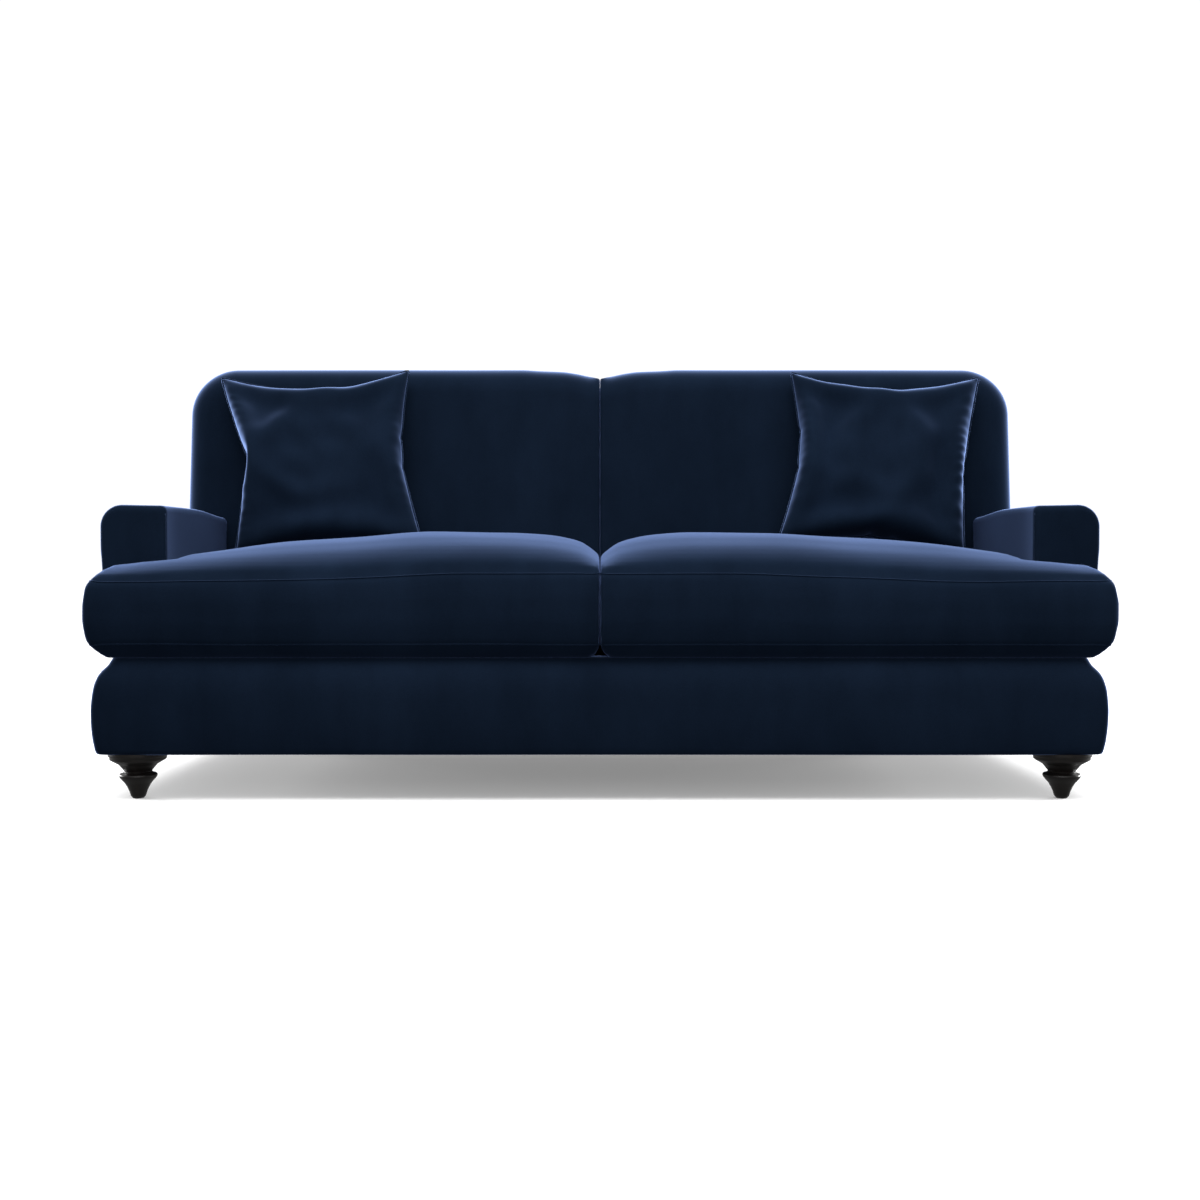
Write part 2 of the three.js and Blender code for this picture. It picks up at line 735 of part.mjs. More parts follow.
addPair("seat_springs", springSetGeometry(), STEEL);
add(
  "seat_deck",
  bar(
    [-insideRail + 5, frontRailRear + GAP, SPRING_Z + SPRING_WIRE + GAP],
    [insideRail - 5, backFrontY(SEAT_BOTTOM) - 4, BASE_TOP],
  ),
  FIBRE,
);

const cover = baseCover();
const padding = baseSolid(SKIN + GAP);
const sideCover = cover.intersect(leftStretch(-RAIL_OUTER_X + 15, frontRailRear));
const frontPad = padding.intersect(frontStretch(RAIL_FRONT_Y - GAP));
const sidePad = padding.intersect(leftStretch(-RAIL_OUTER_X - GAP, RAIL_FRONT_Y));
add("base_front_cover", geometryFrom(cover.intersect(frontStretch(frontRailRear - GAP))), VELVET);
addPair("base_side_cover", geometryFrom(sideCover), VELVET);
add("base_front_pad", geometryFrom(frontPad), FOAM);
addPair("base_side_pad", geometryFrom(sidePad), FOAM);
add("dust_cover", dustCoverGeometry(), LINING);

addPair("arm_cover", geometryFrom(armCover()), VELVET);
addPair("arm_pad", geometryFrom(armPad()), FOAM);
addPair(
  "arm_front_panel",
  alongY(armOutline(0, SEAT_BOTTOM), ARM_FRONT_Y, ARM_FRONT_Y + ARM_PANEL),
  VELVET,
);

addPair("back_cover", geometryFrom(backCover()), VELVET);
addPair("back_pad", geometryFrom(backPad()), FOAM);
add("back_outside_cover", geometryFrom(backOutsideCover()), VELVET);

addPair("seat_cover", geometryFrom(seatCover()), VELVET);
addPair("seat_core", geometryFrom(seatSolid(SKIN + GAP)), FOAM);
addPair("zip_slider", zipSliderGeometry(), STEEL);

for (const [name, solid, finish] of [
  ["scatter_cover", scatterCover(), VELVET],
  ["scatter_filling", pillowSolid(SKIN + GAP), FIBRE],
]) {
  for (const mesh of addPair(name, geometryFrom(solid), finish)) {
    mesh.position.copy(SCATTER_CENTRE);
    mesh.rotation.set(-SCATTER_LEAN, -SCATTER_TURN, 0, "XYZ");
  }
}

const leg = legGeometry();
const bolt = boltGeometry();
for (const [place, y] of [["front", LEG_FRONT_Y], ["rear", LEG_REAR_Y]]) {
  for (const mesh of addPair(`leg_${place}`, leg, STAINED_WOOD)) {
    mesh.position.set(-LEG_X, y, 0);
  }
  for (const mesh of addPair(`leg_bolt_${place}`, bolt, STEEL)) {
    mesh.position.set(-LEG_X, y, 0);
  }
}

export default sofa;
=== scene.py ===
"""The looks of a two-seat velvet sofa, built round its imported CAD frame.

The upholstery is modelled as smooth solids from distance fields, each rounded, crowned and drawn in
where its seams hold it. The two scatter cushions are bags of cloth: Blender fills them, and they are
then smoothed, fitted to their corners and given gathers. All lengths are in metres, in the frame of
the CAD part: the front faces -Y, and left is -X.
"""

import math

import bpy
import numpy as np
import openvdb
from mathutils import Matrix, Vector
from mathutils.bvhtree import BVHTree


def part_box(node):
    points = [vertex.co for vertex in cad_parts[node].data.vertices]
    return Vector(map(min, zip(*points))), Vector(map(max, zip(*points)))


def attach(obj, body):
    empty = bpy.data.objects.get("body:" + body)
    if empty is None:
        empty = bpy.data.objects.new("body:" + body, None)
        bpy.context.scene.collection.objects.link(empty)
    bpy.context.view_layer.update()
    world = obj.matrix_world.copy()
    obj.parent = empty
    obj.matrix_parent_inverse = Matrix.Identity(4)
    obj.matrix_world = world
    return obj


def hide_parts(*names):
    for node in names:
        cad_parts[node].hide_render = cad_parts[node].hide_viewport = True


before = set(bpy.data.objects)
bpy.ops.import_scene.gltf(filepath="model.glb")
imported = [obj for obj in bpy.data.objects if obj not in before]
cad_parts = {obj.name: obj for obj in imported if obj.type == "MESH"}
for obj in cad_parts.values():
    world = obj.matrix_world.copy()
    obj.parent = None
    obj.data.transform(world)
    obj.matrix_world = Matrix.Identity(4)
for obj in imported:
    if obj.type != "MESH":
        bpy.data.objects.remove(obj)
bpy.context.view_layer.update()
scene = bpy.context.scene
scene.view_settings.view_transform = "Standard"

SIDES = {"left": -1, "right": 1}
FRAME_BODY = "sofa_frame"

# ------------------------------------------------------------------ places taken from the frame


def node_box(name):
    low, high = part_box(name)
    return np.array(low), np.array(high)


SEAT_LOW, SEAT_HIGH = node_box("seat_cover_right")
ARM_LOW, ARM_HIGH = node_box("arm_cover_right")
ARM_FRONT = node_box("arm_front_panel_right")[0][1]
BACK_LOW, BACK_HIGH = node_box("back_cover_right")
OUTSIDE_LOW, OUTSIDE_HIGH = node_box("back_outside_cover")
BASE_LOW, BASE_HIGH = node_box("base_front_cover")
BASE_SIDE_HIGH = node_box("base_side_cover_right")[1]
SCATTER_LOW, SCATTER_HIGH = node_box("scatter_cover_right")

RECLINE = math.tan(math.radians(7))
BACK_RAKE = (OUTSIDE_HIGH[1] - OUTSIDE_LOW[1] - 0.003) / (OUTSIDE_HIGH[2] - OUTSIDE_LOW[2])
ARM_CLEARANCE = 0.004

# The grids that the solids are drawn out of: their spacing, then the fine stretch at the inner edge
# of a piece with a twin, and the cells kept outside the box and on each side of the skin.
GRID = {"base": 0.0055, "deck": 0.005, "arm": 0.0045, "back": 0.006, "outside": 0.006, "seat": 0.008}
FINE = 0.001
FINE_STEPS = 14
RAMP_STEPS = 12
MARGIN = 4
BAND = 3

STRAND_SIDES = 6
OUTLINE_STEP = 0.006

# ------------------------------------------------------------------ curves and fields


def curve(x, table):
    """A smooth curve through the (place, value) pairs of a table, with no overshoot."""
    places, values = np.array(table, float).T
    step = np.diff(places)
    slope = np.diff(values) / step
    near = 2 * step[1:] + step[:-1]
    far = step[1:] + 2 * step[:-1]
    turning = slope[:-1] * slope[1:] <= 0
    safe = np.where(slope == 0, 1, slope)
    inner = np.where(turning, 0, (near + far) / (near / safe[:-1] + far / safe[1:]))
    tangent = np.concatenate([slope[:1], inner, slope[-1:]])
    x = np.clip(x, places[0], places[-1])
    k = np.clip(np.searchsorted(places, x, side="right") - 1, 0, len(step) - 1)
    t = (x - places[k]) / step[k]
    start = values[k] * (1 + 2 * t) + step[k] * tangent[k] * t
    end = values[k + 1] * (3 - 2 * t) - step[k] * tangent[k + 1] * (1 - t)
    return start * (1 - t) ** 2 + end * t**2


def smooth_step(x, start, end):
    t = np.clip((x - start) / (end - start), 0, 1)
    return t * t * (3 - 2 * t)


def meet(a, b, radius):
    """The overlap of two fields that are negative inside, with the edge between them rounded."""
    near = np.hypot(np.maximum(a + radius, 0), np.maximum(b + radius, 0))
    return np.minimum(np.maximum(a, b), -radius) + near


def ripple(x, y, z, size, seed):
    """A gentle random swell between about -1 and 1, in waves of about the given size."""
    rng = np.random.default_rng(seed)
    total = 0
    waves = 7
    for _ in range(waves):
        way = rng.normal(size=3)
        way *= 2 * math.pi / (size * rng.uniform(0.8, 1.4) * np.linalg.norm(way))
        total = total + np.sin(way[0] * x + way[1] * y + way[2] * z + rng.uniform(0, 2 * math.pi))
    return total / math.sqrt(waves)


# ------------------------------------------------------------------ meshes


def new_object(name, points, faces):
    mesh = bpy.data.meshes.new(name)
    mesh.from_pydata([tuple(p) for p in points], [], [tuple(f) for f in faces])
    mesh.update()
    mesh.shade_smooth()
    obj = bpy.data.objects.new(name, mesh)
    scene.collection.objects.link(obj)
    return obj


def signed_volume(points, quads):
    a, b, c, d = (points[quads[:, k]] for k in range(4))
    return float(np.sum(a * np.cross(b, c)) + np.sum(a * np.cross(c, d))) / 6


def fine_axis(start, end, voxel):
    """Places along an axis, close together round its start and a voxel apart further on."""
    ramp = np.concatenate([np.full(FINE_STEPS, FINE), np.linspace(FINE, voxel, RAMP_STEPS)])
    even = np.full(int((end - start) / voxel) + len(ramp), voxel)
    steps = np.concatenate([ramp, even])
    axis = start - FINE_STEPS / 2 * FINE + np.concatenate([[0], np.cumsum(steps)])
    return axis[:np.searchsorted(axis, end + MARGIN * voxel) + 1]


def mesh_from_field(name, low, high, voxel, field, side=0):
    """The closed surface where field(u, y, z) is 0. A piece with a side has u running outward on it,
    and a sharp edge where it meets its twin."""
    reach = MARGIN * voxel
    axes = [np.arange(low[k] - reach, high[k] + reach, voxel) for k in range(3)]
    if side:
        axes[0] = fine_axis(low[0], high[0], voxel)
    u, y, z = np.meshgrid(*axes, indexing="ij", sparse=True)
    band = BAND * voxel
    values = np.clip(field(u, y, z), -band, band).astype(np.float32)
    grid = openvdb.FloatGrid(band)
    grid.copyFromArray(np.ascontiguousarray(values))
    points, quads = grid.convertToQuads(isovalue=0.0)
    points = np.asarray(points, float)
    for k, axis in enumerate(axes):
        points[:, k] = np.interp(points[:, k], np.arange(len(axis)), axis)
    points[:, 0] *= side or 1
    quads = np.asarray(quads, int)
    if signed_volume(points, quads) < 0:
        quads = quads[:, ::-1]
    return new_object(name, points, quads)


def coordinates(mesh):
    out = np.empty(len(mesh.vertices) * 3)
    mesh.vertices.foreach_get("co", out)
    return out.reshape(-1, 3)


def set_coordinates(mesh, points):
    mesh.vertices.foreach_set("co", points.ravel())
    mesh.update()


def apply_modifiers(obj):
    evaluated = obj.evaluated_get(bpy.context.evaluated_depsgraph_get())
    mesh = bpy.data.meshes.new_from_object(evaluated)
    obj.modifiers.clear()
    obj.data = mesh
    mesh.shade_smooth()


def subdivide(obj):
    obj.modifiers.new("Subdivision", "SUBSURF").levels = 1
    apply_modifiers(obj)


def relax(points, mesh, rounds=2):
    """Evens out the points of a mesh without changing its broad shape."""
    edges = np.empty(len(mesh.edges) * 2, int)
    mesh.edges.foreach_get("vertices", edges)
    a, b = edges.reshape(-1, 2).T
    count = np.bincount(np.concatenate([a, b]), minlength=len(points))[:, None]
    for _ in range(rounds):
        for weight in (0.5, -0.52):
            total = np.zeros_like(points)
            np.add.at(total, a, points[b])
            np.add.at(total, b, points[a])
            points = points + weight * (total / count - points)
    return points


def strand(name, path, radius, closed=True):
    """A round cord along a list of points, used for the folded edge that stands up at a seam."""
    path = np.asarray(path, float)
    count = len(path)
    ahead = np.roll(path, -1, 0) - np.roll(path, 1, 0) if closed else np.gradient(path, axis=0)
    ahead /= np.linalg.norm(ahead, axis=1)[:, None]
    across = np.cross(ahead, [0.3, 0.2, 1.0])
    across /= np.linalg.norm(across, axis=1)[:, None]
    above = np.cross(across, ahead)
    sides = STRAND_SIDES
    angle = 2 * np.pi * np.arange(sides) / sides
    ring = np.cos(angle)[:, None] * across[:, None] + np.sin(angle)[:, None] * above[:, None]
    points = (path[:, None] + radius * ring).reshape(-1, 3)
    faces = []
    for k in range(count if closed else count - 1):
        for i in range(sides):
            j = (i + 1) % sides
            after = (k + 1) % count
            faces.append((k * sides + i, after * sides + i, after * sides + j, k * sides + j))
    if not closed:
        faces.append(tuple(range(sides)))
        faces.append(tuple(reversed(range((count - 1) * sides, count * sides))))
    return new_object(name, points, faces)


def rounded_outline(corners):
    """A closed flat path through (x, y, radius) corners, with points OUTLINE_STEP apart."""
    corners = np.array(corners, float)
    path = []
    for k, (x, y, radius) in enumerate(corners):
        here = np.array([x, y])
        back = corners[k - 1][:2] - here
        on = corners[(k + 1) % len(corners)][:2] - here
        back /= np.linalg.norm(back)
        on /= np.linalg.norm(on)
        half = math.acos(np.clip(back @ on, -1, 1)) / 2
        reach = radius / math.tan(half)
        centre = here + (back + on) / np.linalg.norm(back + on) * radius / math.sin(half)
        start, end = here + back * reach - centre, here + on * reach - centre
        turn = math.pi - 2 * half
        steps = max(int(radius * turn / OUTLINE_STEP), 3)
        for i in range(steps + 1):
            t = i / steps
            mixed = start * math.sin((1 - t) * turn) + end * math.sin(t * turn)
            path.append(centre + mixed / math.sin(turn))
    out = []
    for k, point in enumerate(path):
        after = path[(k + 1) % len(path)]
        pieces = max(int(np.linalg.norm(after - point) / OUTLINE_STEP), 1)
        out += [point + (after - point) * i / pieces for i in range(pieces)]
    return np.array(out)


def laid_on(obj, path, lift):
    """The path moved onto the nearest skin of obj, and lifted off it a little."""
    points = [v.co for v in obj.data.vertices]
    tree = BVHTree.FromPolygons(points, [p.vertices for p in obj.data.polygons])
    out = []
    for point in path:
        place, normal, _, _ = tree.find_nearest(Vector(point))
        out.append(place + normal * lift)
    out = np.array([tuple(p) for p in out])
    return (np.roll(out, 1, 0) + 2 * out + np.roll(out, -1, 0)) / 4


# ------------------------------------------------------------------ materials


class Shader:
    """A small builder round one material's nodes."""

    def __init__(self, name, colour, finish):
        self.material = bpy.data.materials.new(name)
        self.material.use_nodes = True
        self.material.diffuse_color = (*colour, 1)
        self.tree = self.material.node_tree
        self.surface = self.tree.nodes["Principled BSDF"]
        self.surface.inputs["Base Color"].default_value = (*colour, 1)
        for key, value in finish.items():
            self.surface.inputs[key].default_value = value
        self.place = self.node("ShaderNodeTexCoord").outputs["Object"]

    def node(self, kind, links=(), **settings):
        """A new node, with its settings and with (input, socket or value) pairs."""
        made = self.tree.nodes.new(kind)
        for key, value in settings.items():
            setattr(made, key, value)
        for key, value in links:
            if hasattr(value, "is_output"):
                self.tree.links.new(value, made.inputs[key])
            else:
                made.inputs[key].default_value = value
        return made

    def stretched(self, x, y, z):
        mapping = self.node("ShaderNodeMapping", [("Vector", self.place), ("Scale", (x, y, z))])
        return mapping.outputs["Vector"]

    def noise(self, scale, detail=3, roughness=0.5, place=None):
        pairs = [("Vector", place or self.place), ("Scale", scale)]
        pairs += [("Detail", detail), ("Roughness", roughness)]
        return self.node("ShaderNodeTexNoise", pairs).outputs["Fac"]

    def spread(self, value, low, high, start=0.3, end=0.7):
        pairs = [("Value", value), ("From Min", start), ("From Max", end)]
        pairs += [("To Min", low), ("To Max", high)]
        return self.node("ShaderNodeMapRange", pairs).outputs["Result"]

    def math(self, operation, a, b):
        return self.node("ShaderNodeMath", [(0, a), (1, b)], operation=operation).outputs[0]

    def mix(self, factor, a, b):
        node = self.node("ShaderNodeMix", data_type="RGBA", blend_type="MIX")
        sockets = {"Factor": node.inputs[0], "A": node.inputs[6], "B": node.inputs[7]}
        for key, value in (("Factor", factor), ("A", a), ("B", b)):
            if hasattr(value, "is_output"):
                self.tree.links.new(value, sockets[key])
            else:
                sockets[key].default_value = value
        return node.outputs[2]

    def bump(self, height, strength, distance, below=None):
        pairs = [("Height", height), ("Strength", strength), ("Distance", distance)]
        if below is not None:
            pairs.append(("Normal", below))
        return self.node("ShaderNodeBump", pairs).outputs["Normal"]

    def set(self, key, socket):
        self.tree.links.new(socket, self.surface.inputs[key])


def shade(colour, factor):
    return (*(c * factor for c in colour), 1)


def velvet_material(name, colour):
    """Short-pile velvet: a dark ground, a painted sheen at grazing angles and faint brushed marks. The
    painted sheen is a pale colour mixed into the base colour where the surface turns edge-on. Each
    mesh says how strong its painted sheen is, in an attribute."""
    made = Shader(name, colour, VELVET_FINISH)
    brushed = made.noise(9, 4, 0.6, made.stretched(1, 1, 0.35))
    clouds = made.noise(3.2, 3, 0.55)
    marks = made.math("MULTIPLY", made.spread(brushed, 0.86, 1.14), made.spread(clouds, 0.9, 1.1))
    fibres = made.noise(1400, 2, 0.6, made.stretched(1, 1, 0.4))
    flecks = made.math("MULTIPLY", marks, made.spread(fibres, 0.82, 1.18))
    tone = made.mix(made.spread(flecks, 0, 1, 0.7, 1.3), shade(colour, 0.68), shade(colour, 1.34))
    # Painted sheen: a pale colour mixed into the base colour as the surface turns edge-on, scaled by the
    # mesh's attribute.
    edge_on = made.node("ShaderNodeLayerWeight", [("Blend", 0.5)]).outputs["Facing"]
    strength = made.node("ShaderNodeAttribute", attribute_name="painted_sheen").outputs["Fac"]
    painted_sheen = made.math("MULTIPLY", made.math("POWER", edge_on, PAINTED_SHEEN_POWER), strength)
    made.set("Base Color", made.mix(painted_sheen, tone, shade(PAINTED_SHEEN_COLOUR, 1)))
    made.set("Roughness", made.spread(brushed, 0.56, 0.7))
    soft = made.bump(clouds, 0.1, 0.004)
    made.set("Normal", made.bump(fibres, 0.25, 0.0006, soft))
    return made.material


def wood_material(name, colour, roughness, coat, grain_scale=1.0):
    """Timber with long grain: stained and lacquered, or bare."""
    finish = {
        "Roughness": roughness,
        "Specular IOR Level": 0.3,
        "Coat Weight": coat,
        "Coat Roughness": 0.18,
    }
    made = Shader(name, colour, finish)
    along = made.stretched(14 * grain_scale, 14 * grain_scale, 1.6 * grain_scale)
    rings = made.noise(6, 5, 0.62, along)
    pores = made.noise(60, 3, 0.5, along)
    tone = made.mix(made.spread(rings, 0, 1, 0.35, 0.65), shade(colour, 0.6), shade(colour, 1.35))
    tone = made.mix(made.spread(pores, 0.25, 0, 0.32, 0.45), tone, shade(colour, 0.35))
    made.set("Base Color", tone)
    made.set("Roughness", made.spread(rings, roughness - 0.06, roughness + 0.1))
    made.set("Normal", made.bump(pores, 0.12, 0.0008))
    return made.material


def steel_material():
    made = Shader("spring_steel", (0.32, 0.31, 0.3), {"Metallic": 1.0, "Roughness": 0.38})
    streaks = made.noise(300, 3, 0.6, made.stretched(1, 1, 0.2))
    made.set("Roughness", made.spread(streaks, 0.28, 0.5))
    tone = made.mix(made.noise(40), (0.26, 0.25, 0.24, 1), (0.4, 0.38, 0.35, 1))
    made.set("Base Color", tone)
    return made.material


def foam_material():
    """Cut upholstery foam: pale, open-celled."""
    made = Shader("foam", (0.82, 0.76, 0.6), {"Roughness": 0.95})
    pairs = [("Vector", made.place), ("Scale", 450)]
    cells = made.node("ShaderNodeTexVoronoi", pairs).outputs["Distance"]
    tone = made.mix(made.spread(cells, 0, 1, 0.1, 0.6), (0.62, 0.55, 0.38, 1), (0.86, 0.8, 0.64, 1))
    made.set("Base Color", tone)
    made.set("Normal", made.bump(cells, 0.5, 0.001))
    return made.material


def fibre_material():
    """White polyester wadding: loose crossing fibres."""
    made = Shader("fibre", (0.78, 0.77, 0.74), {"Roughness": 0.9, "Sheen Weight": 0.3})
    strands = made.noise(160, 6, 0.75, made.stretched(1, 0.25, 1))
    tone = made.mix(made.spread(strands, 0, 1), (0.62, 0.61, 0.58, 1), (0.86, 0.85, 0.82, 1))
    made.set("Base Color", tone)
    made.set("Normal", made.bump(strands, 0.6, 0.002))
    return made.material


def woven_material(name, colour, threads, roughness=0.85):
    """A plain weave: two crossing sets of threads."""
    made = Shader(name, colour, {"Roughness": roughness})
    waves = []
    for direction in ("X", "Z"):
        pairs = [("Vector", made.place), ("Scale", threads), ("Distortion", 0.4)]
        node = made.node("ShaderNodeTexWave", pairs, bands_direction=direction)
        waves.append(node.outputs["Fac"])
    weave = made.math("MULTIPLY", *waves)
    worn = made.noise(12, 4, 0.6)
    tone = made.mix(made.spread(weave, 0, 1, 0, 0.7), shade(colour, 0.55), shade(colour, 1.15))
    tone = made.mix(made.spread(worn, 0, 0.35), tone, shade(colour, 1.4))
    made.set("Base Color", tone)
    made.set("Normal", made.bump(weave, 0.5, 0.001))
    return made.material


NAVY = (0.0046, 0.0090, 0.0188)
# The painted sheen: its pale colour, and how sharply it gathers where the surface turns edge-on.
PAINTED_SHEEN_COLOUR = (0.33, 0.48, 0.93)
PAINTED_SHEEN_POWER = 5.2
VELVET_FINISH = {
    "Roughness": 0.7,
    "Specular IOR Level": 0.0,
    "Sheen Weight": 0.25,
    "Sheen Roughness": 0.3,
    "Sheen Tint": (0.3, 0.46, 1.0, 1),
}

MATERIALS = {
    "velvet": velvet_material("velvet", NAVY),
    "stained_wood": wood_material("stained_wood", (0.004, 0.0029, 0.0024), 0.4, 0.04),
    "timber": wood_material("timber", (0.5, 0.33, 0.18), 0.6, 0.0, 0.6),
    "spring_steel": steel_material(),
    "foam": foam_material(),
    "fibre": fibre_material(),
    "webbing": woven_material("webbing", (0.36, 0.27, 0.15), 420),
    "lining": woven_material("lining", (0.012, 0.012, 0.013), 900),
}


def set_painted_sheen(obj, amount):
    """How strong the velvet's painted sheen is at each point; set to 0 where it's closed in, as painted
    shade.
    """
    values = np.broadcast_to(amount, len(obj.data.vertices)).astype(np.float32)
    attribute = obj.data.attributes.new("painted_sheen", "FLOAT", "POINT")
    attribute.data.foreach_set("value", np.ascontiguousarray(values))


def finish_piece(obj, body, slot, replaced=()):
    """Gives a new piece its material, its body and the CAD nodes that it stands for."""
    # Velvet gets the full painted sheen unless its strength was set already.
    if slot == "velvet" and "painted_sheen" not in obj.data.attributes:
        set_painted_sheen(obj, 1.0)
    obj.data.materials.clear()
    obj.data.materials.append(MATERIALS[slot])
    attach(obj, body)
    if replaced:
        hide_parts(*replaced)
    return obj


def dress_cad_nodes():
    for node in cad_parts.values():
        for held in node.material_slots:
            held.material = MATERIALS[held.material.name.split(".")[0]]


# ------------------------------------------------------------------ base

BASE_MIDDLE = 0.18
BASE_RISE = 0.095
BASE_FALL = 0.088
BASE_WRAP = 0.08
BASE_PROUD = 0.004
BASE_SINK = 0.002
BASE_TUCK = 0.028
BASE_UNDERCUT = 0.008
END_TUCK = 0.054
END_TUCK_UNDER_ARM = 0.022
BASE_END = [(0.18, 0), (0.215, 0.004), (0.24, 0.0115), (0.251, 0.0185), (0.262, 0.029), (0.275, 0.034)]


def base_field(x, y, z):
    """A padded band round the frame, drawn in under the cushions and at its bottom edge."""
    above = np.maximum(z - BASE_MIDDLE, 0) / BASE_RISE
    below = np.maximum(BASE_MIDDLE - z, 0) / BASE_FALL
    under = BASE_UNDERCUT * below**2.4
    swell = 0.0012 * ripple(x, y, z, 0.4, 3)
    beside_arm = smooth_step(y, ARM_FRONT - 0.05, ARM_FRONT + 0.01)
    most = END_TUCK - (END_TUCK - END_TUCK_UNDER_ARM) * beside_arm
    end = np.minimum(curve(z, BASE_END), most)
    side = np.abs(x) - BASE_HIGH[0] - BASE_PROUD + end + under + swell
    front = BASE_LOW[1] + BASE_TUCK * above**3.6 + under + swell - y
    around = meet(side, front, 0.018)
    body = meet(around, BASE_LOW[2] - BASE_SINK - z, 0.006)
    body = np.maximum(body, z - BASE_HIGH[2] - 0.003)
    body = np.maximum(body, y - BASE_SIDE_HIGH[1])
    hollow = np.maximum(np.abs(x) - BASE_HIGH[0] + BASE_WRAP, BASE_LOW[1] + BASE_WRAP - y)
    return np.maximum(body, -hollow)


def build_base():
    low = (-BASE_HIGH[0], BASE_LOW[1], BASE_LOW[2])
    high = (BASE_HIGH[0], BASE_SIDE_HIGH[1], BASE_HIGH[2])
    base = mesh_from_field("base_upholstery", low, high, GRID["base"], base_field)
    parts = ["base_front_cover", "base_front_pad"]
    parts += [f"base_side_{part}_{side}" for part in ("cover", "pad") for side in SIDES]
    finish_piece(base, FRAME_BODY, "velvet", parts)


DECK_CHANNEL = 0.2


def build_deck():
    """The padded platform cloth under the seat cushions, sewn down in wide channels."""
    low, high = node_box("seat_deck")

    def field(x, y, z):
        across = np.abs((x / DECK_CHANNEL) % 1 - 0.5)
        sewn = 0.0022 * np.exp(-(((0.5 - across) * DECK_CHANNEL / 0.006) ** 2))
        top = z - high[2] + sewn + 0.0006 * ripple(x, y, z, 0.2, 31)
        sides = np.maximum(np.abs(x) - high[0], np.maximum(low[1] - y, y - high[1]))
        return np.maximum(meet(sides, top, 0.004), low[2] - z)

    deck = mesh_from_field("seat_platform", low, high, GRID["deck"], field)
    finish_piece(deck, FRAME_BODY, "lining", ["seat_deck"])


# ------------------------------------------------------------------ arms

ARM_WAIST = [(0.277, 0.018), (0.4, 0.0055), (0.459, 0.002), (0.5, 0.0), (0.577, 0.0)]
ARM_DROOP = 0.009
ARM_PROUD = 0.003


def back_face_y(z):
    """Where the front face of the back stands at a height."""
    return BACK_LOW[1] + (z - BACK_LOW[2]) * RECLINE


def arm_outline(u, y, z):
    """The section of an arm: full, flat on top, rolled at the outer edge and drawn in low down."""
    droop = ARM_DROOP * smooth_step(y, -0.06, ARM_HIGH[1])
    outer = u - ARM_HIGH[0] - ARM_PROUD + curve(z, ARM_WAIST)
    top = z - ARM_HIGH[2] + droop
    return meet(meet(outer, top, 0.044), ARM_LOW[0] - u, 0.014)


def arm_field(u, y, z):
    swell = 0.0012 * ripple(u, y, z, 0.3, 5)
    skin = meet(arm_outline(u, y, z) + swell, ARM_FRONT + 0.3 * swell - y, 0.012)
    skin = np.maximum(skin, ARM_LOW[2] - z)
    return np.maximum(skin, y - back_face_y(z) + 0.001)


def build_arm(name, side):
    low = (ARM_LOW[0], ARM_FRONT, ARM_LOW[2])
    arm = mesh_from_field(f"arm_upholstery_{name}", low, ARM_HIGH, GRID["arm"], arm_field, side)
    x, y, _ = coordinates(arm.data).T
    # Painted shade: the painted sheen is cut on the arm's inner face, by half at the front and wholly
    # towards the back.
    inner_face = smooth_step(side * x, ARM_LOW[0] + 0.012, ARM_LOW[0] + 0.003)
    painted_shade = curve(y, [(ARM_FRONT, 0.5), (ARM_FRONT + 0.1, 0.85), (ARM_FRONT + 0.35, 1.0)])
    set_painted_sheen(arm, 1 - painted_shade * inner_face)
    parts = [f"arm_{part}_{name}" for part in ("cover", "front_panel", "pad")]
    finish_piece(arm, FRAME_BODY, "velvet", parts)
    inner = ARM_LOW[0] + 0.001
    heights = np.linspace(ARM_LOW[2] + 0.02, ARM_HIGH[2] - 0.012, 50)
    path = laid_on(arm, [(side * inner, ARM_FRONT + 0.004, z) for z in heights], 0.0002)[1:-1]
    seam = strand(f"arm_front_seam_{name}", path, 0.0013, closed=False)
    finish_piece(seam, FRAME_BODY, "velvet")


# ------------------------------------------------------------------ back

CENTRE_DIP = [(0, 0.020), (0.029, 0.0145), (0.058, 0.0085), (0.087, 0.0045), (0.146, 0.0022), (0.18, 0)]
CENTRE_TUCK = [(0, 0.010), (0.0015, 0.006), (0.005, 0.0022), (0.014, 0.0008), (0.05, 0)]
BACK_CORNER = 0.111
BACK_PROUD = 0.006
BACK_SIDE_ROUND = 0.058
BACK_TOP_ROUND = 0.06


def back_rear_y(z):
    return OUTSIDE_HIGH[1] - BACK_RAKE * (OUTSIDE_HIGH[2] - z)


def back_outline(u, z):
    """The back seen from the front: square-shouldered, with a dip at the middle seam."""
    outer = u - BACK_HIGH[0] - BACK_PROUD
    top = z - BACK_HIGH[2] + curve(u, CENTRE_DIP)
    return outer, top, meet(outer, top, BACK_CORNER)


def back_field(u, y, z):
    outer, top, outline = back_outline(u, z)
    crown = 0.006 * smooth_step(-outer, 0.0, 0.3) * smooth_step(u, 0.0, 0.25)
    swell = 0.0015 * ripple(u, y, z, 0.35, 7)
    face = back_face_y(z) + 0.006 - crown + curve(u, CENTRE_TUCK) + swell - y
    on_top = smooth_step(top - outer, -0.05, 0.05)
    radius = BACK_SIDE_ROUND + (BACK_TOP_ROUND - BACK_SIDE_ROUND) * on_top
    body = meet(outline, face, radius)
    body = meet(body, y - back_rear_y(z) + 0.004, 0.02)
    body = meet(body, BACK_LOW[0] - u, 0.0015)
    return np.maximum(body, BACK_LOW[2] - z)


